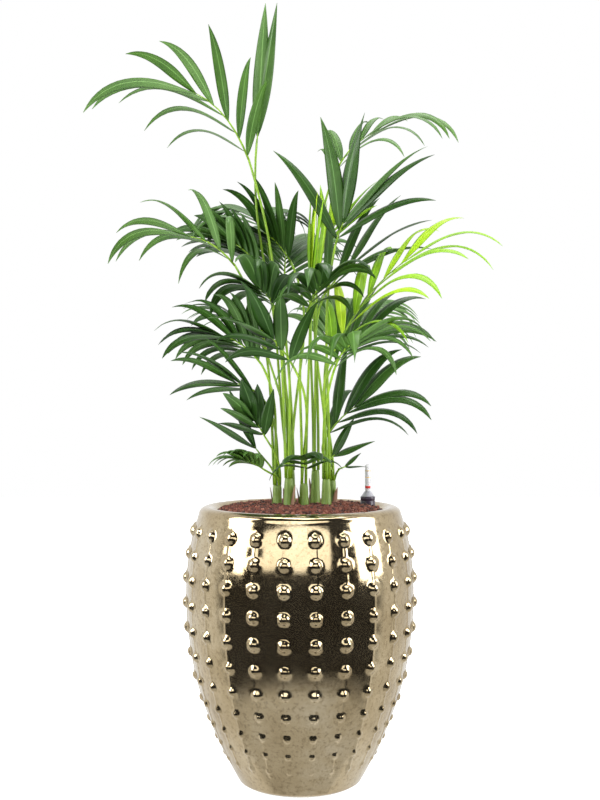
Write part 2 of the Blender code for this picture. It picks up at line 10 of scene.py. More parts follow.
import bmesh
import bpy
from mathutils import Matrix, Quaternion, Vector, noise
from mathutils.bvhtree import BVHTree


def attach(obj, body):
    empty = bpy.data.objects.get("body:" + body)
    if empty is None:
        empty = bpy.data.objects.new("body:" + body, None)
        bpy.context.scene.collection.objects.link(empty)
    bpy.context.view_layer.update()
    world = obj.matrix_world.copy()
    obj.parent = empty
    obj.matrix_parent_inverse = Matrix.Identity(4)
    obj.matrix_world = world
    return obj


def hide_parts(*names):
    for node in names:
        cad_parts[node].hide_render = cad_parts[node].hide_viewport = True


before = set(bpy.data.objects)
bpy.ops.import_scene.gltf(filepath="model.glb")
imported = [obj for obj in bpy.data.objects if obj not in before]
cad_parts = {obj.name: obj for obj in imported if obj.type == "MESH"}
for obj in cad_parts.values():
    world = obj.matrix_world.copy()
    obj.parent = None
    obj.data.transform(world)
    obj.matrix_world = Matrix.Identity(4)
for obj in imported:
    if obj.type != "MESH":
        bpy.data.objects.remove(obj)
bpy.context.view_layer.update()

UP = Vector((0.0, 0.0, 1.0))
GAP = 0.0003

# Planter
FOOT_RADIUS = 0.108
BELLY_RADIUS = 0.203
BELLY_HEIGHT = 0.340
BELLY_SWELL = 2.11
SHOULDER_DROP = 0.024
SHOULDER_RISE = 0.145
RIM_HEIGHT = 0.478
RIM_CROWN = 0.012
OPENING_RADIUS = 0.149
WALL = 0.016
FLOOR = 0.022
THROAT_HEIGHT = 0.452
INNER_HEIGHTS = (0.10, 0.21, 0.34)

# Studs on the planter
STUD_COLUMNS = 24
STUD_ROWS = 11
ROUND_STUD_ROWS = 7
TOP_ROW_HEIGHT = 0.449
ROW_PITCH = 0.219
STUD_RADIUS = 0.0105
STUD_PROUD = 0.0080
SMALL_STUD_RADIUS = 0.0048
SMALL_STUD_PROUD = 0.0028

# Clay granulate
GRANULATE_TOP = 0.4905
PLATEAU_RADIUS = 0.085
GRANULATE_SHOULDER = (0.122, 0.4875)
GRANULATE_EDGE = 0.4810

# Water gauge
GAUGE_PLACE = Vector((0.124, 0.035, 0.0))
GAUGE_RADIUS = 0.0135
GAUGE_FOOT = 0.440
GAUGE_SHOULDER = 0.5045
GAUGE_NECK = 0.5135
TUBE_RADIUS = 0.0048
TUBE_TOP = 0.5615

# Stems: the place of each foot, and the height of the sheath above the granulate
STEM_FOOT_RADIUS = 0.0098
STEM_TOP_RADIUS = 0.0084
Stem = namedtuple("Stem", "x y height")
STEMS = (
    Stem(-0.041, 0.000, 0.036),
    Stem(-0.020, -0.024, 0.050),
    Stem(-0.017, 0.046, 0.060),
    Stem(0.007, -0.016, 0.040),
    Stem(0.028, 0.018, 0.062),
    Stem(0.047, -0.014, 0.048),
    Stem(0.058, 0.040, 0.042),
)

# Stalks and leaflets
PETIOLE_RING = 0.0053
PETIOLE_FOOT_RADIUS = 0.0027
PETIOLE_TOP_RADIUS = 0.0021
RACHIS_TIP_RADIUS = 0.0012
FIRST_LEAFLET = 0.010
PETIOLE_OVERLAP = 0.003
PETIOLE_TRIES = 120
COLLAR_SWELL = 1.3
LEAFLET_THICKNESS = 0.012
LEAST_THICKNESS = 0.0013
WIDEST_AT = 0.38
LEAFLET_STATIONS = (0.15, 0.42, 0.72)
TEST_MARGIN = 0.0004
PATH_STEPS = 24
LEAST_BOW = 0.4
STEEPEST_FALL = -0.97
RISING_SHARE = 0.40
ARRIVING_SHARE = 0.33
TRY_TURN = 2.4
TRY_STEP = 0.0028
ROOT_WIDTH = 0.12
GROWTH_SEED = 100

# A frond leaves its stem on a petiole that ends at the collar, where the rachis and its leaflets start.
# A row's first line places the frond. heading: 0 to the right, 90 to the back, 180 to the left, 270 to
# the front. rise: slope of the rachis. roll turns the frond about its rachis. lean tips its leaflets to
# the upper face.
# The second line gives its leaflets. open is the angle between the lowest leaflets and the rachis, and
# droop is how far a leaflet bows under its weight. upper, 1 unless it is given, is the share of the
# leaflet length on the side that the roll lifts.
Frond = namedtuple(
    "Frond",
    "name stem collar heading rise length bend roll lean pairs leaflet width open droop tint upper",
    defaults=[1.0],
)
FRONDS = (
    Frond("crown_left", 1, (-0.092, 0.0, 1.112), 183, 68, 0.15, 0.75, 40, 0.1,
          5, 0.27, 0.024, 36, 1.2, "mid", 0.62),
    Frond("crown_top", 2, (-0.079, 0.03, 1.15), 0, 83, 0.01, 0.0, 90, 0.0,
          1, 0.25, 0.028, 4, 0.1, "mid"),
    Frond("crown_right", 4, (0.061, 0.04, 1.09), 5, 64, 0.1, 0.7, 35, 0.2,
          5, 0.215, 0.02, 40, 1.7, "mid", 0.45),
    Frond("upper_right", 5, (0.063, -0.04, 0.955), 0, 74, 0.03, 0.15, 75, 0.1,
          3, 0.215, 0.028, 34, 0.7, "dark"),
    Frond("centre_back", 2, (-0.067, 0.09, 1.0), 105, 45, 0.06, 0.6, 0, 0.2,
          4, 0.17, 0.024, 58, 2.4, "dark"),
    Frond("centre_left", 1, (-0.017, 0.05, 0.935), 178, 58, 0.05, 0.3, 45, 0.1,
          3, 0.19, 0.024, 34, 1.1, "dark", 0.8),
    Frond("left_drooping", 0, (-0.115, -0.03, 0.918), 188, 50, 0.09, 0.8, 20, 0.2,
          4, 0.215, 0.024, 42, 1.6, "mid", 0.8),
    Frond("left_upright", 2, (-0.069, 0.04, 0.92), 170, 50, 0.06, 0.3, 45, 0.1,
          3, 0.185, 0.028, 32, 1.0, "dark", 0.62),
    Frond("bright_right", 5, (0.055, -0.05, 0.757), 358, 63, 0.2, 0.45, 32, 0.1,
          6, 0.225, 0.024, 40, 1.5, "bright", 0.75),
    Frond("spear_left", 3, (0.018, -0.02, 0.86), 100, 88, 0.02, 0.0, 90, 0.0,
          2, 0.19, 0.018, 9, 0.1, "bright"),
    Frond("spear_right", 4, (0.03, 0.01, 0.87), 80, 86, 0.03, 0.0, 90, 0.0,
          2, 0.18, 0.016, 8, 0.1, "bright"),
    Frond("right_upright", 5, (0.044, 0.03, 0.872), 5, 54, 0.06, 0.2, 50, 0.1,
          3, 0.19, 0.022, 28, 0.9, "dark"),
    Frond("right_behind", 4, (0.045, 0.07, 0.965), 10, 66, 0.04, 0.1, 60, 0.0,
          2, 0.13, 0.018, 25, 0.5, "bright"),
    Frond("left_low", 0, (-0.069, -0.02, 0.744), 182, 52, 0.075, 0.7, 45, 0.1,
          4, 0.15, 0.024, 36, 1.5, "dark"),
    Frond("left_lower", 0, (-0.077, 0.0, 0.693), 178, 32, 0.03, 0.3, 60, 0.1,
          3, 0.15, 0.02, 24, 0.8, "dark"),
    Frond("left_broad", 0, (-0.061, -0.02, 0.612), 175, 60, 0.03, 0.0, 75, 0.0,
          2, 0.095, 0.03, 32, 0.4, "dark"),
    Frond("left_forked", 0, (-0.072, 0.0, 0.583), 178, 52, 0.01, 0.0, 90, 0.0,
          1, 0.12, 0.02, 15, 0.3, "dark"),
    Frond("front_left", 1, (-0.039, -0.06, 0.832), 210, 62, 0.045, 0.6, 10, 0.2,
          3, 0.15, 0.03, 55, 2.2, "dark"),
    Frond("front_right", 3, (0.012, -0.08, 0.83), 310, 65, 0.05, 0.6, 10, 0.2,
          3, 0.14, 0.026, 50, 2.4, "dark"),
    Frond("front_middle", 3, (-0.014, -0.09, 0.742), 200, 58, 0.05, 0.3, 50, 0.1,
          2, 0.14, 0.03, 38, 1.0, "dark"),
    Frond("right_middle", 6, (0.06, 0.02, 0.745), 12, 50, 0.06, 0.3, 45, 0.1,
          3, 0.175, 0.022, 32, 1.4, "dark"),
    Frond("right_arching", 5, (0.058, -0.1, 0.73), 300, 55, 0.06, 0.7, 10, 0.2,
          3, 0.175, 0.026, 55, 2.2, "mid"),
    Frond("right_low", 6, (0.045, 0.0, 0.61), 5, 56, 0.07, 0.4, 50, 0.1,
          4, 0.175, 0.028, 32, 1.4, "dark"),
    Frond("right_short", 6, (0.05, -0.01, 0.57), 10, 45, 0.01, 0.0, 85, 0.0,
          1, 0.085, 0.018, 25, 0.3, "dark"),
    Frond("right_small", 6, (0.072, 0.02, 0.555), 10, 20, 0.006, 0.0, 60, 0.0,
          1, 0.042, 0.013, 25, 0.3, "dark"),
    Frond("basal_front", 3, (0.01, -0.05, 0.556), 265, 40, 0.04, 0.5, 10, 0.2,
          2, 0.085, 0.028, 55, 2.0, "dark"),
    Frond("basal_left", 0, (-0.064, -0.02, 0.556), 200, 35, 0.03, 0.4, 15, 0.2,
          3, 0.085, 0.022, 42, 1.6, "mid"),
    Frond("back_high", 2, (-0.03, 0.12, 0.9), 88, 60, 0.1, 0.6, 10, 0.1,
          5, 0.2, 0.024, 42, 1.7, "dark"),
    Frond("back_right", 6, (0.055, 0.11, 0.78), 55, 55, 0.09, 0.6, 15, 0.1,
          5, 0.19, 0.024, 42, 1.7, "mid"),
    Frond("back_left", 2, (-0.06, 0.1, 0.76), 125, 52, 0.08, 0.6, 15, 0.1,
          4, 0.18, 0.024, 42, 1.7, "dark"),
)
ONE_PIECE = {
    "crown_top", "spear_left", "spear_right", "right_behind", "left_broad", "left_forked",
    "right_short", "right_small", "basal_front", "basal_left", "front_middle",
}


# Planter
def outer_radius(height):
    """Radius of the bare wall: a long taper below the belly and a shorter one above it."""
    if height < BELLY_HEIGHT:
        drop = (BELLY_HEIGHT - height) / BELLY_HEIGHT
        return BELLY_RADIUS - (BELLY_RADIUS - FOOT_RADIUS) * drop**BELLY_SWELL
    return BELLY_RADIUS - SHOULDER_DROP * ((height - BELLY_HEIGHT) / SHOULDER_RISE) ** 2


def outer_slope(height):
    step = 0.001
    return (outer_radius(height + step) - outer_radius(height - step)) / (2 * step)


def cavity_profile():
    """The inside of the wall, from the floor up to the opening."""
    profile = [(outer_radius(FLOOR) - WALL, FLOOR)]
    profile += [(outer_radius(height) - WALL, height) for height in INNER_HEIGHTS]
    profile.append((OPENING_RADIUS, THROAT_HEIGHT))
    return profile


def row_heights():
    """Height of each row: rows lie a fixed share of the local radius apart, measured along the wall."""
    heights = [TOP_ROW_HEIGHT]
    while len(heights) < STUD_ROWS:
        height = heights[-1]
        slope = outer_slope(height)
        heights.append(height - ROW_PITCH * outer_radius(height) / math.sqrt(1 + slope * slope))
    return heights


# Stems
def stem_top(index):
    stem = STEMS[index]
    return Vector((stem.x, stem.y, GRANULATE_TOP + GAP + stem.height))


# Paths of stalks and leaflets
def bowed_path(start, direction, length, bow, suppleness, least=LEAST_BOW):
    """Points along a stalk or leaflet that sets out straight and turns down by about bow radians.

    Level stretches turn most, steep ones by at least the share least. A higher suppleness leaves
    more of the turn to the tip.
    """
    points = [start.copy()]
    heading = direction.normalized()
    for i in range(PATH_STEPS):
        share = (i + 0.5) / PATH_STEPS
        level = math.hypot(heading.x, heading.y)
        turn = bow * (suppleness + 1) * share**suppleness / PATH_STEPS * max(level, least)
        if heading.z > STEEPEST_FALL:
            heading = Quaternion(heading.cross(UP).normalized(), -turn) @ heading
        points.append(points[-1] + heading * (length / PATH_STEPS))
    return points


def bezier_path(start, start_pull, end_pull, end):
    points = []
    for i in range(PATH_STEPS + 1):
        t = i / PATH_STEPS
        u = 1 - t
        points.append(start * u**3 + start_pull * (3 * u * u * t) + end_pull * (3 * u * t * t) + end * t**3)
    return points


def at_share(points, share):
    """Point and direction at a share of the path's length."""
    place = min(max(share, 0.0), 1.0) * (len(points) - 1)
    index = min(int(place), len(points) - 2)
    step = points[index + 1] - points[index]
    return points[index] + step * (place - index), step.normalized()


def frond_axes(frond):
    """Direction of the rachis at the collar, the way its leaflets open, and the frond's upper face."""
    heading = math.radians(frond.heading)
    rise = math.radians(frond.rise)
    level = math.cos(rise)
    forward = Vector((level * math.cos(heading), level * math.sin(heading), math.sin(rise)))
    face = (UP - forward * UP.dot(forward)).normalized()
    face = Quaternion(forward, math.radians(frond.roll)) @ face
    return forward, forward.cross(face), face


def foot_angles():
    """Where round its stem's top each petiole starts: evenly spaced, each near its collar's side."""
    angles = {}
    for index, place in enumerate(STEMS):
        bound = {
            frond.name: math.atan2(frond.collar[1] - place.y, frond.collar[0] - place.x)
            for frond in FRONDS if frond.stem == index
        }
        names = sorted(bound, key=bound.get)
        spacing = 2 * math.pi / len(names)
        offsets = [bound[name] - spacing * i for i, name in enumerate(names)]
        turn = math.atan2(sum(map(math.sin, offsets)), sum(map(math.cos, offsets)))
        angles.update({name: turn + spacing * i for i, name in enumerate(names)})
    return angles


def petiole_paths(frond, angle):
    """The petiole's likely path first, then others that bow a little to each side of it."""
    root = stem_top(frond.stem) + Vector((math.cos(angle), math.sin(angle), 0.0)) * PETIOLE_RING
    root.z += GAP
    collar = Vector(frond.collar)
    forward = frond_axes(frond)[0]
    reach = (collar - root).length
    rising = root + (UP * 0.9 + (collar - root).normalized() * 0.3) * (RISING_SHARE * reach)
    arriving = collar - (forward + UP * 0.3).normalized() * (ARRIVING_SHARE * reach)
    for step in range(PETIOLE_TRIES):
        aside = Matrix.Rotation(TRY_TURN * step, 3, "Z") @ Vector((TRY_STEP * math.sqrt(step), 0.0, 0.0))
        yield bezier_path(root, rising + aside, arriving + aside * 1.2, collar)


# Meshes of stalks and leaflets
def band_faces(start, sides, rings):
    """The faces between neighbouring rings of points, the first of which is number start."""
    faces = []
    for low in range(start, start + (rings - 1) * sides, sides):
        for side in range(sides):
            after = (side + 1) % sides
            faces.append((low + side, low + after, low + sides + after, low + sides + side))
    return faces


def tube_mesh(points, radii, sides, first=None, last=None):
    """A closed stalk with flat ends, which may be squared to a given first or last direction."""
    corners = []
    for index, point in enumerate(points):
        before = points[max(index - 1, 0)]
        after = points[min(index + 1, len(points) - 1)]
        tangent = (after - before).normalized()
        if first and index == 0:
            tangent = first
        if last and index == len(points) - 1:
            tangent = last
        across = tangent.cross(Vector((0.3, 1.0, 0.0))).normalized()
        along = tangent.cross(across)
        for side in range(sides):
            turn = 2 * math.pi * side / sides
            corners.append(point + (across * math.cos(turn) + along * math.sin(turn)) * radii[index])
    faces = band_faces(0, sides, len(points))
    faces.append(tuple(reversed(range(sides))))
    faces.append(tuple((len(points) - 1) * sides + side for side in range(sides)))
    return corners, faces


def leaflet_outline(share):
    """Width of a leaflet along its length, as a share of its greatest width."""
    if share < WIDEST_AT:
        return ROOT_WIDTH + (1 - ROOT_WIDTH) * math.sin(math.pi / 2 * share / WIDEST_AT) ** 0.8
    return math.cos(math.pi / 2 * (share - WIDEST_AT) / (1 - WIDEST_AT)) ** 0.85


def blade_axes(direction, face, twist):
    """The way across a leaflet's blade and the way out of its upper face, which turns to the sky."""
    wanted = UP * 0.8 + face * 0.6
    normal = (wanted - direction * wanted.dot(direction)).normalized()
    normal = Quaternion(direction, twist) @ normal
    return direction.cross(normal), normal


def leaflet_mesh(leaflet, margin=0.0):
    """A thin blade with a flat top and a keel under it, from its sunk root to its point."""
    thickness = max(LEAFLET_THICKNESS * leaflet.length, LEAST_THICKNESS)
    corners = [leaflet.path[0].copy()]
    for share in LEAFLET_STATIONS:
        point, direction = at_share(leaflet.path, share)
        across, normal = blade_axes(direction, leaflet.face, leaflet.twist * share)
        half = leaflet.width / 2 * leaflet_outline(share)
        depth = min(thickness, half * 1.2) + margin
        corners += [
            point - across * (half + margin) + normal * margin,
            point - normal * depth,
            point + across * (half + margin) + normal * margin,
        ]
    corners.append(leaflet.path[-1].copy())
    tip = len(corners) - 1
    faces = band_faces(1, 3, len(LEAFLET_STATIONS))
    faces += [(tip - 3 + side, tip - 3 + (side + 1) % 3, tip) for side in range(3)]
    faces += [(1 + (side + 1) % 3, 1 + side, 0) for side in range(3)]
    return corners, faces


# The frond rule
Leaflet = namedtuple("Leaflet", "path length width face twist")
Grown = namedtuple("Grown", "frond petiole rachis leaflets")


def tree_of(shape):
    return BVHTree.FromPolygons([tuple(point) for point in shape[0]], shape[1])


def petiole_radius(frond, share):
    slim = 0.8 if frond.leaflet < 0.13 else 1.0
    return slim * (PETIOLE_FOOT_RADIUS + (PETIOLE_TOP_RADIUS - PETIOLE_FOOT_RADIUS) * share)


def petiole_mesh(frond, path, margin=0.0):
    shares = [i / 5 for i in range(6)]
    points = [at_share(path, share)[0] for share in shares]
    radii = [petiole_radius(frond, share) + margin for share in shares]
    return tube_mesh(points, radii, 4, first=UP, last=frond_axes(frond)[0])


def rachis_mesh(frond, path):
    start = petiole_radius(frond, 1.0) * (COLLAR_SWELL if frond.name in ONE_PIECE else 1.0)
    last = len(path) - 1
    radii = [start + (RACHIS_TIP_RADIUS - start) * i / last for i in range(last + 1)]
    return tube_mesh(path, radii, 4, first=frond_axes(frond)[0])


def rachis_path(frond):
    """The rachis as a few straight lengths, so that every leaflet's root lies inside it."""
    forward = frond_axes(frond)[0]
    start = Vector(frond.collar)
    start += forward * (-PETIOLE_OVERLAP if frond.name in ONE_PIECE else GAP)
    smooth = bowed_path(start, forward, frond.length + FIRST_LEAFLET, frond.bend, 0.6, 1.0)
    lengths = min(frond.pairs + 1, 6)
    return [at_share(smooth, i / lengths)[0] for i in range(lengths + 1)]


def wanted_leaflets(frond, chance):
    """Place and bearing of each leaflet: pairs that lie closer to the rachis toward its tip."""
    lift = frond_axes(frond)[1].z
    for pair in range(frond.pairs):
        rank = pair / (frond.pairs - 1) if frond.pairs > 1 else 0.5
        for side in (-1, 1):
            reach = frond.leaflet * (frond.upper if lift * side > 0.15 else 1.0)
            along = (FIRST_LEAFLET + frond.length * (rank + 0.04 * side)) / (frond.length + FIRST_LEAFLET)
            yield {
                "share": min(max(along, FIRST_LEAFLET * 0.7 / (frond.length + FIRST_LEAFLET)), 0.97),
                "side": side,
                "open": math.radians(frond.open * (1.15 - 0.65 * rank) + chance.uniform(-4, 4)),
                "length": reach * (0.8 + 0.2 * math.sin(math.pi * (0.25 + 0.6 * rank)))
                * chance.uniform(0.93, 1.05),
                "width": frond.width * (0.78 + 0.34 * rank) * chance.uniform(0.9, 1.08),
                "droop": frond.droop * chance.uniform(0.8, 1.25),
                "twist": math.radians(chance.uniform(-35, 35)),
                "lean": frond.lean + chance.uniform(0.0, 0.1),
            }


def leaflet_tries(frond, rachis, wanted):
    """The leaflet as wanted, then the same one turned a little round the rachis or opened more or less."""
    forward, side_way, face = frond_axes(frond)
    point, along = at_share(rachis, wanted["share"])
    swing = forward.rotation_difference(along)
    side_way = swing @ side_way
    face = swing @ face
    for turn, opening in (
        (0, 0), (8, 0), (-8, 0), (0, 6), (0, -6), (15, 4), (-15, 4), (22, 0), (-22, 0),
        (30, 6), (-30, 6), (0, 14), (12, 14), (-12, 14), (40, 0), (-40, 0),
    ):
        open_angle = wanted["open"] + math.radians(opening)
        outward = Quaternion(along, math.radians(turn)) @ (side_way * wanted["side"])
        direction = along * math.cos(open_angle) + outward * math.sin(open_angle) + face * wanted["lean"]
        path = bowed_path(point, direction, wanted["length"], wanted["droop"], 1.1)
        yield Leaflet(path, wanted["length"], wanted["width"], face, wanted["twist"])


def clear_of(shape, trees):
    tree = tree_of(shape)
    return not any(tree.overlap(other) for other in trees)


def grow(solid_trees):
    """Every frond's petiole, rachis and leaflets. A leaflet that can't clear the other nodes is left out."""
    angles = foot_angles()
    petioles, rachises, stalk_trees = {}, {}, {}
    for frond in FRONDS:
        rachis = rachis_path(frond)
        others = [tree for trees in stalk_trees.values() for tree in trees] + solid_trees
        for path in petiole_paths(frond, angles[frond.name]):
            if clear_of(petiole_mesh(frond, path, TEST_MARGIN), others):
                break
        petioles[frond.name], rachises[frond.name] = path, rachis
        stalk_trees[frond.name] = [tree_of(petiole_mesh(frond, path)), tree_of(rachis_mesh(frond, rachis))]
    grown, leaf_trees = [], {frond.name: [] for frond in FRONDS}
    for index, frond in enumerate(FRONDS):
        chance = random.Random(GROWTH_SEED + index)
        own = [] if frond.name in ONE_PIECE else stalk_trees[frond.name][:1]
        others = own + solid_trees
        for name, trees in stalk_trees.items():
            if name != frond.name:
                others = others + trees + leaf_trees[name]
        leaflets = []
        for wanted in wanted_leaflets(frond, chance):
            for leaflet in leaflet_tries(frond, rachises[frond.name], wanted):
                if clear_of(leaflet_mesh(leaflet, TEST_MARGIN), others):
                    leaflets.append(leaflet)
                    leaf_trees[frond.name].append(tree_of(leaflet_mesh(leaflet)))
                    break
        grown.append(Grown(frond, petioles[frond.name], rachises[frond.name], leaflets))
    return grown


# Fine shapes: closed lofts gathered into joined pieces
class Piece:
    """Points and faces of one joined piece, with a place on the blade and a tint for each shape."""

    def __init__(self):
        self.points = []
        self.faces = []
        self.tints = []
        self.places = []

    def loft(self, rings, tint=0, places=None):
        """A closed shape through rings of equally many points, with flat ends."""
        start = len(self.points)
        count = len(rings[0])
        for index, ring in enumerate(rings):
            self.points += [tuple(point) for point in ring]
            self.places += places[index] if places else [(0.0, index / (len(rings) - 1), 0.0)] * count
        self.faces += band_faces(start, count, len(rings))
        self.faces.append(tuple(start + side for side in reversed(range(count))))
        self.faces.append(tuple(start + (len(rings) - 1) * count + side for side in range(count)))
        self.tints += [tint] * ((len(rings) - 1) * count + 2)

    def made(self, name, finishes, slot, *nodes):
        mesh = bpy.data.meshes.new(name)
        mesh.from_pydata(self.points, [], self.faces)
        for finish in finishes:
            mesh.materials.append(finish)
        mesh.polygons.foreach_set("material_index", self.tints)
        place = mesh.attributes.new("blade", "FLOAT_VECTOR", "POINT")
        place.data.foreach_set("vector", [value for triple in self.places for value in triple])
        mesh.shade_smooth()
        mesh.update()
        obj = bpy.data.objects.new(name, mesh)
        bpy.context.scene.collection.objects.link(obj)
        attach(obj, "root")
        if nodes:
            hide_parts(*nodes)


def round_rings(points, radii, sides, first=None, last=None):
    corners = tube_mesh(points, radii, sides, first, last)[0]
    return [corners[i * sides:(i + 1) * sides] for i in range(len(points))]


# Leaflets
BLADE_STATIONS = 16
BLADE_TOP = (-1.0, -0.72, -0.38, 0.0, 0.38, 0.72, 1.0)
BLADE_UNDER = (0.6, 0.0, -0.6)
BLADE_FOLD = 0.30
FOLD_CURVE = 1.3
BLADE_RIPPLE = 0.05
RIPPLE_RATE = 9
BLADE_DEPTH = 0.0007
MIDRIB_DEPTH = 0.0011
BETWEEN_WIDTH = 0.92
WIDEST_GAP = 0.11
TINT_SEED = 700
STALK_STATIONS = 20
STALK_SIDES = 10
TIP_TAPER = 0.7

# Fronds whose leaflets stand apart in the photograph, with sky between them
SPARSE = {
    "crown_left", "crown_right", "upper_right", "left_drooping", "right_low", "right_upright",
    "bright_right", "left_lower",
}


def blade_rings(leaflet, chance):
    """A leaflet folded along its midrib, pleated a little, with a thin edge and a keel under it."""
    rings, places = [], []
    wave = chance.uniform(0, 2 * math.pi)
    for index in range(BLADE_STATIONS + 1):
        share = index / BLADE_STATIONS
        point, direction = at_share(leaflet.path, share)
        across, normal = blade_axes(direction, leaflet.face, leaflet.twist * share)
        half = leaflet.width / 2 * max(leaflet_outline(min(share, 0.995)), 0.02)
        ripple = BLADE_RIPPLE * math.sin(RIPPLE_RATE * share + wave)
        ring = []
        for place in BLADE_TOP:
            lift = -BLADE_FOLD * abs(place) ** FOLD_CURVE + ripple * place * abs(place)
            ring.append(point + across * (place * half) + normal * (lift * half))
        for place in BLADE_UNDER:
            lift = -BLADE_FOLD * abs(place) ** FOLD_CURVE
            depth = MIDRIB_DEPTH if place == 0 else BLADE_DEPTH
            depth = min(depth, half * 0.5)
            ring.append(point + across * (place * half) + normal * (lift * half - depth))
        rings.append(ring)
        places.append([(place, share, 0.0) for place in BLADE_TOP + BLADE_UNDER])
    return rings, places


def between(first, second):
    """A leaflet half way between two neighbours, so that it stays within their reach."""
    path = [(a + b) / 2 for a, b in zip(first.path, second.path)]
    length = (first.length + second.length) / 2
    width = (first.width + second.width) / 2 * BETWEEN_WIDTH
    face = (first.face + second.face).normalized()
    return Leaflet(path, length, width, face, (first.twist + second.twist) / 2)


def fine_leaflets(one):
    """Each leaflet of the solid and, in the full fronds, one more between close neighbours of a side."""
    made = list(one.leaflets)
    if one.frond.name in SPARSE:
        return made
    sides = {}
    for leaflet in one.leaflets:
        outward = leaflet.path[PATH_STEPS // 3] - leaflet.path[0]
        side = outward.dot(frond_axes(one.frond)[1]) > 0
        sides.setdefault(side, []).append(leaflet)
    for row in sides.values():
        for first, second in zip(row, row[1:]):
            apart = (first.path[PATH_STEPS // 2] - second.path[PATH_STEPS // 2]).length
            if apart < WIDEST_GAP:
                made.append(between(first, second))
    return made


def frond_pieces(number, one, finishes, stalk):
    """A frond's leaflets as one piece, and its petiole and rachis as another."""
    frond = one.frond
    forward = frond_axes(frond)[0]
    chance = random.Random(TINT_SEED + number)
    blades = Piece()
    for leaflet in fine_leaflets(one):
        rings, places = blade_rings(leaflet, chance)
        blades.loft(rings, chance.choice((0, 0, 1, 1, 2)), places)
    slot = "leaf_bright" if frond.tint == "bright" else "leaf"
    blades.made("leaves_" + frond.name, finishes, slot, "frond_" + frond.name)
    stalks = Piece()
    shares = [i / STALK_STATIONS for i in range(STALK_STATIONS + 1)]
    points = [at_share(one.petiole, share)[0] for share in shares]
    radii = [petiole_radius(frond, share) for share in shares]
    stalks.loft(round_rings(points, radii, STALK_SIDES, UP, forward))
    last = len(one.rachis) - 1
    start = petiole_radius(frond, 1.0)
    radii = [start + (RACHIS_TIP_RADIUS * TIP_TAPER - start) * i / last for i in range(last + 1)]
    stalks.loft(round_rings(one.rachis, radii, STALK_SIDES, forward))
    nodes = [] if frond.name in ONE_PIECE else ["petiole_" + frond.name]
    stalks.made("stalk_" + frond.name, [stalk], "petiole", *nodes)


# Planter
POT_COLUMNS = 480
WALL_ROWS = 165
RIM_ROWS = 22
RIB_PROUD = 0.0011
RIB_WIDTH = 0.0022
RIB_END = 0.012
WALL_PER_HEIGHT = 1.02
STUD_SHARE = 0.96
STUD_CURVE = 2.4
STUD_SHOULDER = 0.62
SKIRT_REACH = 1.5
SKIRT_PROUD = 0.0006
DENT = 0.0007
DENT_FADE = 0.03
DENTS_ROUND = 2.2
DENTS_UP = 14
FOOT_CHAMFER = 0.004


def stud_lift(angle, height, rows):
    """How far the glaze stands out of the bare wall: skirted studs, and the ribs that link them."""
    spacing = 2 * math.pi / STUD_COLUMNS
    off = (angle / spacing - 0.5) - round(angle / spacing - 0.5)
    sideways = off * spacing * outer_radius(height)
    lift = 0.0
    if rows[-1][0] - RIB_END < height < rows[0][0] + RIB_END:
        lift = RIB_PROUD * math.exp(-(sideways / RIB_WIDTH) ** 2)
    for row_height, radius, proud in rows:
        distance = math.hypot(sideways, (height - row_height) * WALL_PER_HEIGHT) / radius
        if distance < 1.0:
            lift = max(lift, proud * (1 - distance**STUD_CURVE) ** STUD_SHOULDER)
        elif distance < SKIRT_REACH:
            lift = max(lift, SKIRT_PROUD * (SKIRT_REACH - distance) / (SKIRT_REACH - 1))
    return lift


def stud_rows():
    """Height, radius and proudness of each row of studs, which shrink toward the foot."""
    rows = []
    for row, height in enumerate(row_heights()):
        small = max(0, row - ROUND_STUD_ROWS + 3) / (STUD_ROWS - ROUND_STUD_ROWS + 2)
        radius = STUD_RADIUS + (SMALL_STUD_RADIUS - STUD_RADIUS) * small
        proud = (STUD_PROUD + (SMALL_STUD_PROUD - STUD_PROUD) * small) * STUD_SHARE
        rows.append((height, radius, proud))
    return rows


def pot_profile():
    """Radius, height and whether it is studded, for each ring from the cavity over the rim to the foot."""
    rim_outer = outer_radius(RIM_HEIGHT)
    middle = (rim_outer + OPENING_RADIUS) / 2
    half = (rim_outer - OPENING_RADIUS) / 2
    profile = [(radius, height, False) for radius, height in cavity_profile()]
    for i in range(RIM_ROWS + 1):
        angle = math.pi * (1 - i / RIM_ROWS)
        profile.append((middle + half * math.cos(angle), RIM_HEIGHT + RIM_CROWN * math.sin(angle), False))
    for i in range(1, WALL_ROWS + 1):
        height = RIM_HEIGHT + (FOOT_CHAMFER - RIM_HEIGHT) * i / WALL_ROWS
        profile.append((outer_radius(height), height, True))
    profile.append((FOOT_RADIUS - FOOT_CHAMFER, 0.0, False))
    return profile


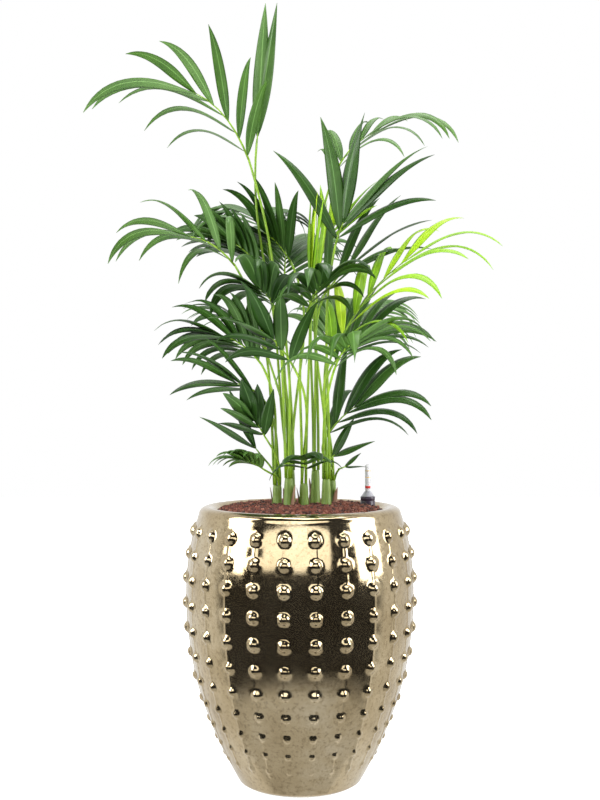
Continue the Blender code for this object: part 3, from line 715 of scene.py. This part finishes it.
def planter_piece():
    """The planter turned as a fine grid: cavity, rim, studded wall and flat foot."""
    rows = stud_rows()
    profile = pot_profile()
    pot = Piece()
    for radius, height, studded in profile:
        slope = outer_slope(height) if studded else 0.0
        for column in range(POT_COLUMNS):
            angle = 2 * math.pi * column / POT_COLUMNS
            cosine, sine = math.cos(angle), math.sin(angle)
            lift = 0.0
            if studded:
                fade = min(1.0, (height - FOOT_CHAMFER) / DENT_FADE)
                dent = noise.noise(Vector((cosine * DENTS_ROUND, sine * DENTS_ROUND, height * DENTS_UP)))
                lift = stud_lift(angle, height, rows) + DENT * fade * dent
            scale = 1 / math.sqrt(1 + slope * slope)
            out = radius + lift * scale
            pot.points.append((out * cosine, out * sine, height - lift * slope * scale))
    for row in range(len(profile) - 1):
        low = row * POT_COLUMNS
        high = low + POT_COLUMNS
        for column in range(POT_COLUMNS):
            after = (column + 1) % POT_COLUMNS
            pot.faces.append((low + column, high + column, high + after, low + after))
    pot.faces.append(tuple(range(POT_COLUMNS)))
    last = (len(profile) - 1) * POT_COLUMNS
    pot.faces.append(tuple(last + column for column in reversed(range(POT_COLUMNS))))
    pot.tints = [0] * len(pot.faces)
    pot.places = [(0.0, 0.0, 0.0)] * len(pot.points)
    pot.made("planter_fine", [glaze_finish()], "planter_glaze", "planter")


# Clay grains
GRAINS = 2300
LOWER_GRAINS = 2600
LOWER_SUNK = 0.0022
GRAIN_RADIUS = 0.0033
GRAIN_EDGE = 0.0045
GRAIN_JITTER = 0.001
GRAIN_SWELL = 0.16
GRAIN_SWELLS = 1.7
GOLDEN_ANGLE = 2.39996
GAUGE_CLEARANCE = 0.002


def granulate_height(radius):
    if radius < PLATEAU_RADIUS:
        return GRANULATE_TOP
    shoulder, low = GRANULATE_SHOULDER
    if radius < shoulder:
        return GRANULATE_TOP + (low - GRANULATE_TOP) * (radius - PLATEAU_RADIUS) / (shoulder - PLATEAU_RADIUS)
    return low + (GRANULATE_EDGE - low) * (radius - shoulder) / (OPENING_RADIUS - shoulder)


def grain_shape(detail):
    ball = bmesh.new()
    bmesh.ops.create_icosphere(ball, subdivisions=detail, radius=1.0)
    ball.verts.ensure_lookup_table()
    points = [vertex.co.copy() for vertex in ball.verts]
    faces = [tuple(vertex.index for vertex in face.verts) for face in ball.faces]
    ball.free()
    return points, faces


def grain_layer(count, detail, sunk, seed):
    """Grains spread evenly by a golden spiral, each pushed out of round and turned its own way."""
    chance = random.Random(seed)
    shape, sides = grain_shape(detail)
    piece = Piece()
    for index in range(count):
        radius = (OPENING_RADIUS - GRAIN_EDGE) * math.sqrt((index + 0.5) / count)
        angle = GOLDEN_ANGLE * index
        x = radius * math.cos(angle) + chance.uniform(-GRAIN_JITTER, GRAIN_JITTER)
        y = radius * math.sin(angle) + chance.uniform(-GRAIN_JITTER, GRAIN_JITTER)
        if math.hypot(x - GAUGE_PLACE.x, y - GAUGE_PLACE.y) < GAUGE_RADIUS + GAUGE_CLEARANCE:
            continue
        size = GRAIN_RADIUS * chance.uniform(0.7, 1.25)
        squash = Vector((chance.uniform(0.8, 1.2), chance.uniform(0.8, 1.2), chance.uniform(0.65, 1.0)))
        axis = (chance.uniform(-1, 1), chance.uniform(-1, 1), chance.uniform(-1, 1))
        spin = Quaternion(axis, chance.uniform(0, 3))
        level = granulate_height(math.hypot(x, y)) + size * chance.uniform(0.05, 0.55) - sunk
        centre = Vector((x, y, level))
        start = len(piece.points)
        for point in shape:
            swell = 1 + GRAIN_SWELL * noise.noise(point * GRAIN_SWELLS + Vector((index * 3.1, 0, 0)))
            corner = Vector(a * b * size * swell for a, b in zip(point, squash))
            piece.points.append(tuple(centre + spin @ corner))
            piece.places.append((0.0, 0.0, 0.0))
        piece.faces += [tuple(start + number for number in face) for face in sides]
        piece.tints += [chance.choice((0, 0, 0, 1, 1, 2, 3))] * len(sides)
    return piece


def grain_bed():
    """Two layers of grains on the solid fill, which keeps its own shape and takes the darkest grains' colour:
    painted shade for the deep gaps between the grains.
    """
    grains = [
        grain_finish("grain_red", (0.105, 0.028, 0.016), (0.235, 0.066, 0.038)),
        grain_finish("grain_brown", (0.062, 0.020, 0.014), (0.145, 0.048, 0.031)),
        grain_finish("grain_light", (0.19, 0.068, 0.042), (0.34, 0.135, 0.090)),
        grain_finish("grain_dark", (0.022, 0.010, 0.008), (0.070, 0.029, 0.022)),
    ]
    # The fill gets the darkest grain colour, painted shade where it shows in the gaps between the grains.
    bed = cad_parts["clay_granulate"]
    bed.data.materials.clear()
    bed.data.materials.append(grains[3])
    grain_layer(GRAINS, 2, 0.0, 5).made("clay_grains_top", grains, "clay_grains")
    grain_layer(LOWER_GRAINS, 1, LOWER_SUNK, 6).made("clay_grains_low", grains, "clay_grains")


# Gauge
GAUGE_SIDES = 40
BODY_INSET = 0.0001
BODY_RIM = GAUGE_SHOULDER - 0.0012
GROOVE_SHARE = 0.965
GROOVE_FOOT = BODY_RIM - 0.008
GROOVE_TOP = BODY_RIM - 0.006
GROOVE_EDGE = 0.0004
TUBE_SIDES = 32
BAND_GAP = 0.00003
MARK_HEIGHTS = (0.5385, 0.5505)
MARK_HALF = 0.0006
MARK_EDGE = 0.0002
MARK_PROUD = 0.0002
FLOAT_FOOT = 0.5185
FLOAT_TOP = 0.5230
FLOAT_EDGE = 0.0005
FLOAT_PROUD = 0.00018


def around(place, radius, angle, height):
    """A point off the upright line through place, at a height above the ground."""
    return place.x + radius * math.cos(angle), place.y + radius * math.sin(angle), height


def gauge_rings(profile, sides):
    """The radii and heights of a profile, turned round the gauge's middle."""
    return [
        [around(GAUGE_PLACE, radius, 2 * math.pi * i / sides, height) for i in range(sides)]
        for radius, height in profile
    ]


def tube_band(low, high, edge, proud):
    """A thin band round the tube that stands proud of it, with sloping edges."""
    return gauge_rings((
        (TUBE_RADIUS + BAND_GAP, low), (TUBE_RADIUS + proud, low + edge),
        (TUBE_RADIUS + proud, high - edge), (TUBE_RADIUS + BAND_GAP, high),
    ), TUBE_SIDES)


def gauge_pieces(finishes):
    """The gauge's dark body with a clear cone, its milky tube, and the float and level marks in it."""
    body = Piece()
    radius = GAUGE_RADIUS - BODY_INSET
    groove = radius * GROOVE_SHARE
    body.loft(gauge_rings((
        (radius * 0.98, GAUGE_FOOT), (radius, GAUGE_FOOT + 0.001),
        (radius, GROOVE_FOOT), (groove, GROOVE_FOOT + GROOVE_EDGE),
        (groove, GROOVE_TOP - GROOVE_EDGE), (radius, GROOVE_TOP),
        (radius, BODY_RIM - 0.0006), (radius * 0.96, BODY_RIM), (radius * 0.9, BODY_RIM + 0.0006),
    ), GAUGE_SIDES))
    body.loft(gauge_rings((
        (radius * 0.88, BODY_RIM + 0.0007), (radius * 0.84, BODY_RIM + 0.0015),
        (radius * 0.55, BODY_RIM + 0.0075),
        (TUBE_RADIUS * 1.15, GAUGE_NECK - 0.0006), (TUBE_RADIUS * 1.1, GAUGE_NECK),
    ), GAUGE_SIDES), 1)
    body.made("gauge_body_fine", [finishes["plastic"], finishes["cone"]], "gauge_plastic", "gauge_body")
    tube = Piece()
    tube.loft(gauge_rings((
        (TUBE_RADIUS * 0.98, GAUGE_NECK + 0.0003), (TUBE_RADIUS, GAUGE_NECK + 0.001),
        (TUBE_RADIUS, TUBE_TOP - 0.0014), (TUBE_RADIUS * 0.93, TUBE_TOP - 0.0004),
        (TUBE_RADIUS * 0.80, TUBE_TOP),
    ), TUBE_SIDES))
    for height in MARK_HEIGHTS:
        tube.loft(tube_band(height - MARK_HALF, height + MARK_HALF, MARK_EDGE, MARK_PROUD), 1)
    tube.loft(tube_band(FLOAT_FOOT, FLOAT_TOP, FLOAT_EDGE, FLOAT_PROUD), 2)
    tube_finishes = [finishes["tube"], finishes["mark"], finishes["float"]]
    tube.made("gauge_tube_fine", tube_finishes, "gauge_tube", "gauge_tube")


# Stems
SHEATH_SIDES = 40
SHEATH_STEPS = 26
SHEATH_INSET = 0.0007
SHEATH_TAPER = 0.0014
SWOLLEN_SHARE = 0.45
RIDGES = 13
RIDGE_PROUD = 0.00025
SEAM_SLANT = 1.5
SEAM_PROUD = 0.0006
SCRAPS = 2
SCRAP_SEED = 40
SCRAP_STEPS = 8
SCRAP_ACROSS = (-1.0, -0.5, 0.0, 0.5, 1.0)
SCRAP_THICKNESS = 0.0004
SCRAP_GAP = 0.0002
SCRAP_LEAN = 0.0032
SCRAP_TIP = 0.03


def stem_piece(index, finishes):
    """A stem's sheath: it swells at the foot, with the overlapping edges of older sheaths round it."""
    chance = random.Random(SCRAP_SEED + index)
    place = STEMS[index]
    base = GRANULATE_TOP + GAP
    rings = []
    for step in range(SHEATH_STEPS + 1):
        share = step / SHEATH_STEPS
        radius = STEM_FOOT_RADIUS + (STEM_TOP_RADIUS - STEM_FOOT_RADIUS) * min(1.0, share / SWOLLEN_SHARE)
        ring = []
        for side in range(SHEATH_SIDES):
            angle = 2 * math.pi * side / SHEATH_SIDES
            seam = math.sin(angle * 2 + share * SEAM_SLANT + index)
            ridge = RIDGE_PROUD * math.sin(angle * RIDGES + index) + SEAM_PROUD * max(0.0, seam) ** 6
            out = radius - SHEATH_INSET + ridge - SHEATH_TAPER * share**6
            ring.append(around(place, out, angle, base + place.height * share))
        rings.append(ring)
    piece = Piece()
    piece.loft(rings)
    for _ in range(SCRAPS):
        angle = chance.uniform(0, 2 * math.pi)
        piece.loft(sheath_scrap(place, base, angle, chance), 1)
    piece.made(f"stem_{index + 1}_fine", finishes, "stem_sheath", f"stem_{index + 1}")


def sheath_scrap(place, base, angle, chance):
    """A dry, papery point of an old sheath that clings to the stem's foot and leans off it."""
    height = place.height * chance.uniform(0.55, 0.95)
    reach = chance.uniform(0.5, 0.8)
    rings = []
    for step in range(SCRAP_STEPS + 1):
        share = step / SCRAP_STEPS
        spread = reach * (1 - share) ** 0.8 + SCRAP_TIP
        turns = [angle + spread * across for across in SCRAP_ACROSS]
        out = STEM_FOOT_RADIUS + SCRAP_GAP + SCRAP_LEAN * share**2
        rise = base + height * share
        outer = [around(place, out + SCRAP_THICKNESS, turn, rise) for turn in turns]
        inner = [around(place, out, turn, rise) for turn in turns]
        rings.append(outer + inner[::-1])
    return rings


# Materials
LEAF_SPECULAR = 0.28
VEIN_RATE = 26.0

# For each kind of frond, the dark tone, light tone and roughness of its three leaf materials
LEAF_TINTS = {
    "dark": (
        ((0.014, 0.048, 0.005), (0.030, 0.085, 0.010), 0.33),
        ((0.024, 0.070, 0.009), (0.050, 0.120, 0.020), 0.38),
        ((0.009, 0.034, 0.004), (0.022, 0.065, 0.008), 0.30),
    ),
    "mid": (
        ((0.034, 0.096, 0.010), (0.070, 0.160, 0.024), 0.38),
        ((0.050, 0.125, 0.022), (0.095, 0.190, 0.045), 0.42),
        ((0.026, 0.078, 0.008), (0.056, 0.138, 0.016), 0.34),
    ),
    "bright": (
        ((0.210, 0.400, 0.006), (0.340, 0.560, 0.014), 0.38),
        ((0.120, 0.280, 0.006), (0.235, 0.440, 0.012), 0.38),
        ((0.300, 0.500, 0.010), (0.450, 0.640, 0.030), 0.40),
    ),
}


def nodes_of(name):
    made = bpy.data.materials.new(name)
    made.use_nodes = True
    tree = made.node_tree
    return made, tree, tree.nodes["Principled BSDF"]


def node(tree, kind, **values):
    made = tree.nodes.new(kind)
    for key, value in values.items():
        if key in made.inputs:
            made.inputs[key].default_value = value
        else:
            setattr(made, key, value)
    return made


def noise_of(tree, stretch=(1.0, 1.0, 1.0), **values):
    """A noise over the object's own coordinates, which stretch makes denser along each axis."""
    coords = tree.nodes.new("ShaderNodeTexCoord")
    mapping = node(tree, "ShaderNodeMapping", Scale=stretch)
    tree.links.new(coords.outputs["Object"], mapping.inputs["Vector"])
    made = node(tree, "ShaderNodeTexNoise", **values)
    tree.links.new(mapping.outputs["Vector"], made.inputs["Vector"])
    return made.outputs["Fac"]


def ramp(tree, source, stops):
    made = tree.nodes.new("ShaderNodeValToRGB")
    elements = made.color_ramp.elements
    while len(elements) < len(stops):
        elements.new(0.5)
    for element, (position, colour) in zip(elements, stops):
        element.position = position
        element.color = (*colour, 1.0)
    tree.links.new(source, made.inputs["Fac"])
    return made.outputs["Color"]


def map_range(tree, source, limits, **values):
    """What lies between the first two limits, spread between the last two."""
    made = node(tree, "ShaderNodeMapRange", **values)
    tree.links.new(source, made.inputs["Value"])
    for key, limit in zip(("From Min", "From Max", "To Min", "To Max"), limits):
        made.inputs[key].default_value = limit
    return made.outputs["Result"]


def bump(tree, shader, height, strength, distance):
    made = node(tree, "ShaderNodeBump", Strength=strength, Distance=distance)
    tree.links.new(height, made.inputs["Height"])
    tree.links.new(made.outputs["Normal"], shader.inputs["Normal"])


def leaf_finish(name, dark, light, roughness):
    """A leaflet: tone that wanders along the blade, a paler midrib, and fine lengthwise veins."""
    made, tree, shader = nodes_of(name)
    links = tree.links
    place = node(tree, "ShaderNodeAttribute", attribute_name="blade")
    split = tree.nodes.new("ShaderNodeSeparateXYZ")
    links.new(place.outputs["Vector"], split.inputs[0])
    tone = ramp(tree, noise_of(tree, Scale=14.0, Detail=3.0, Roughness=0.6), ((0.3, dark), (0.72, light)))
    veins = node(tree, "ShaderNodeMath", operation="MULTIPLY")
    veins.inputs[1].default_value = VEIN_RATE
    links.new(split.outputs["X"], veins.inputs[0])
    stripe = node(tree, "ShaderNodeMath", operation="SINE")
    links.new(veins.outputs[0], stripe.inputs[0])
    middle = node(tree, "ShaderNodeMath", operation="ABSOLUTE")
    links.new(split.outputs["X"], middle.inputs[0])
    rib = ramp(tree, middle.outputs[0], ((0.0, (1, 1, 1)), (0.10, (0, 0, 0))))
    paler = tuple(min(1.0, value * 1.7 + 0.03) for value in light)
    mixed = node(tree, "ShaderNodeMix", data_type="RGBA")
    links.new(rib, mixed.inputs["Factor"])
    links.new(tone, mixed.inputs["A"])
    mixed.inputs["B"].default_value = (*paler, 1.0)
    links.new(mixed.outputs["Result"], shader.inputs["Base Color"])
    shader.inputs["Roughness"].default_value = roughness
    shader.inputs["Specular IOR Level"].default_value = LEAF_SPECULAR
    bump(tree, shader, stripe.outputs[0], 0.07, 0.0003)
    return made


def grained(name, scale, detail, stops, roughness, relief, stretch=(1.0, 1.0, 1.0)):
    """A material whose tone and fine relief follow one noise, and its shader."""
    made, tree, shader = nodes_of(name)
    fac = noise_of(tree, stretch, Scale=scale, Detail=detail)
    tree.links.new(ramp(tree, fac, stops), shader.inputs["Base Color"])
    shader.inputs["Roughness"].default_value = roughness
    bump(tree, shader, fac, *relief)
    return made, shader


def stalk_finish(name, low, high):
    return grained(name, 3.0, 4.0, ((0.3, low), (0.7, high)), 0.42, (0.25, 0.0006), (60.0, 60.0, 5.0))[0]


def grain_finish(name, dark, light):
    return grained(name, 900.0, 4.0, ((0.32, dark), (0.7, light)), 0.85, (0.5, 0.0005))[0]


def plastic_finish(name, colour, roughness, transmission=0.0):
    darker = tuple(value * 0.92 for value in colour)
    made, shader = grained(name, 700.0, 2.0, ((0.3, darker), (0.7, colour)), roughness, (0.06, 0.0003))
    shader.inputs["Transmission Weight"].default_value = transmission
    return made


def glaze_finish():
    """A metallic champagne glaze: soft clouds of tone, fine darker specks, and a gloss that follows them."""
    made, tree, shader = nodes_of("champagne_glaze")
    links = tree.links
    cloud = noise_of(tree, Scale=9.0, Detail=6.0, Roughness=0.62)
    fine = noise_of(tree, Scale=150.0, Detail=5.0, Roughness=0.7)
    tone = ramp(tree, cloud, (
        (0.30, (0.34, 0.26, 0.145)), (0.52, (0.47, 0.38, 0.235)), (0.74, (0.58, 0.50, 0.35)),
    ))
    specks = ramp(tree, fine, ((0.34, (0.55, 0.50, 0.44)), (0.50, (1, 1, 1))))
    toned = node(tree, "ShaderNodeMix", data_type="RGBA", blend_type="MULTIPLY")
    toned.inputs["Factor"].default_value = 0.65
    links.new(tone, toned.inputs["A"])
    links.new(specks, toned.inputs["B"])
    links.new(toned.outputs["Result"], shader.inputs["Base Color"])
    shader.inputs["Metallic"].default_value = 0.97
    shine = map_range(tree, fine, (0.3, 0.75, 0.06, 0.16))
    links.new(shine, shader.inputs["Roughness"])
    bump(tree, shader, fine, 0.06, 0.0008)
    return made


# Light, floor and camera
CAMERA_PLACE = (0.0, -2.1, 0.68)
CAMERA_LENS = 52.5
GROUND_REACH = 6.0
GROUND_DROP = 0.0005

# A range of directions, and how bright the surround is at its two ends
AHEAD_TO_BACK = (-0.22, 0.12, 0.004, 1.0)
DOWN_TO_LEVEL = (-0.66, -0.48, 0.70, 0.0)


def area_light(name, place, aim, size, power):
    data = bpy.data.lights.new(name, "AREA")
    data.shape = "RECTANGLE"
    data.size, data.size_y = size
    data.energy = power
    obj = bpy.data.objects.new(name, data)
    obj.location = place
    obj.rotation_euler = (Vector(aim) - Vector(place)).to_track_quat("-Z", "Y").to_euler()
    obj.visible_camera = False
    bpy.context.scene.collection.objects.link(obj)


def surround():
    """A world that is white to the camera, and to all else dark in front and bright behind and below."""
    world = bpy.data.worlds.new("studio")
    bpy.context.scene.world = world
    world.use_nodes = True
    tree = world.node_tree
    links = tree.links
    coords = tree.nodes.new("ShaderNodeTexCoord")
    split = tree.nodes.new("ShaderNodeSeparateXYZ")
    links.new(coords.outputs["Generated"], split.inputs[0])
    behind = map_range(tree, split.outputs["Y"], AHEAD_TO_BACK, interpolation_type="SMOOTHSTEP")
    below = map_range(tree, split.outputs["Z"], DOWN_TO_LEVEL, interpolation_type="SMOOTHSTEP")
    brighter = node(tree, "ShaderNodeMath", operation="MAXIMUM")
    links.new(behind, brighter.inputs[0])
    links.new(below, brighter.inputs[1])
    path = tree.nodes.new("ShaderNodeLightPath")
    seen = node(tree, "ShaderNodeMix", data_type="RGBA")
    links.new(path.outputs["Is Camera Ray"], seen.inputs["Factor"])
    links.new(brighter.outputs["Value"], seen.inputs["A"])
    seen.inputs["B"].default_value = (1.0, 1.0, 1.0, 1.0)
    background = tree.nodes["Background"]
    links.new(seen.outputs["Result"], background.inputs["Color"])
    background.inputs["Strength"].default_value = 1.0


def soft_boxes():
    """A wide box in front, which the glaze mirrors as its highlight, one at each side and one overhead."""
    area_light("front", (-0.2, -2.8, 1.28), (-0.1, 0.0, 0.9), (3.8, 1.05), 36)
    area_light("side_left", (-2.4, -0.9, 1.6), (0, 0, 0.7), (1.4, 2.2), 75)
    area_light("side_right", (2.4, -0.7, 1.5), (0, 0, 0.7), (1.4, 2.2), 70)
    area_light("overhead", (0.2, -0.2, 3.2), (0, 0, 0.5), (2.2, 2.2), 85)


def pale_floor():
    """A pale, glowing square under the planter, which glossy surfaces don't mirror."""
    low, high = -GROUND_REACH, GROUND_REACH
    floor = bpy.data.meshes.new("floor")
    floor.from_pydata([(low, low, 0), (high, low, 0), (high, high, 0), (low, high, 0)], [], [(0, 1, 2, 3)])
    obj = bpy.data.objects.new("floor", floor)
    obj.location.z = -GROUND_DROP
    obj.visible_glossy = False
    bpy.context.scene.collection.objects.link(obj)
    made, _tree, shader = nodes_of("pale_floor")
    shader.inputs["Base Color"].default_value = (0.93, 0.93, 0.92, 1.0)
    shader.inputs["Roughness"].default_value = 0.7
    shader.inputs["Emission Color"].default_value = (1.0, 1.0, 1.0, 1.0)
    shader.inputs["Emission Strength"].default_value = 0.8
    floor.materials.append(made)


def photo_camera():
    bpy.context.scene.view_settings.view_transform = "Standard"
    data = bpy.data.cameras.new("photo_camera")
    data.lens = CAMERA_LENS
    camera = bpy.data.objects.new("photo_camera", data)
    camera.location = CAMERA_PLACE
    camera.rotation_euler = (math.pi / 2, 0.0, 0.0)
    bpy.context.scene.collection.objects.link(camera)
    bpy.context.scene.camera = camera


def node_tree_of(name):
    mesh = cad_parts[name].data
    corners = [vertex.co for vertex in mesh.vertices]
    return BVHTree.FromPolygons(corners, [face.vertices for face in mesh.polygons])


def main():
    photo_camera()
    surround()
    soft_boxes()
    pale_floor()
    names = ["planter", "clay_granulate", "gauge_body", "gauge_tube"]
    names += [f"stem_{index + 1}" for index in range(len(STEMS))]
    grown = grow([node_tree_of(name) for name in names])
    stalk = stalk_finish("petiole_lime", (0.10, 0.215, 0.006), (0.25, 0.42, 0.014))
    leaves = {
        tint: [leaf_finish(f"leaf_{tint}_{i + 1}", *tone) for i, tone in enumerate(tones)]
        for tint, tones in LEAF_TINTS.items()
    }
    for number, one in enumerate(grown):
        frond_pieces(number, one, leaves[one.frond.tint], stalk)
    sheath = [
        stalk_finish("sheath_green", (0.11, 0.20, 0.02), (0.23, 0.34, 0.06)),
        stalk_finish("sheath_dry", (0.20, 0.10, 0.055), (0.42, 0.26, 0.17)),
    ]
    for index in range(len(STEMS)):
        stem_piece(index, sheath)
    planter_piece()
    grain_bed()
    gauge_pieces({
        "plastic": plastic_finish("gauge_plum", (0.045, 0.030, 0.050), 0.30),
        "cone": plastic_finish("gauge_cone", (0.62, 0.62, 0.68), 0.18, 0.35),
        "tube": plastic_finish("gauge_milky", (0.80, 0.80, 0.82), 0.25, 0.30),
        "mark": plastic_finish("gauge_mark", (0.80, 0.45, 0.03), 0.45),
        "float": plastic_finish("gauge_float", (0.62, 0.03, 0.02), 0.35),
    })


main()
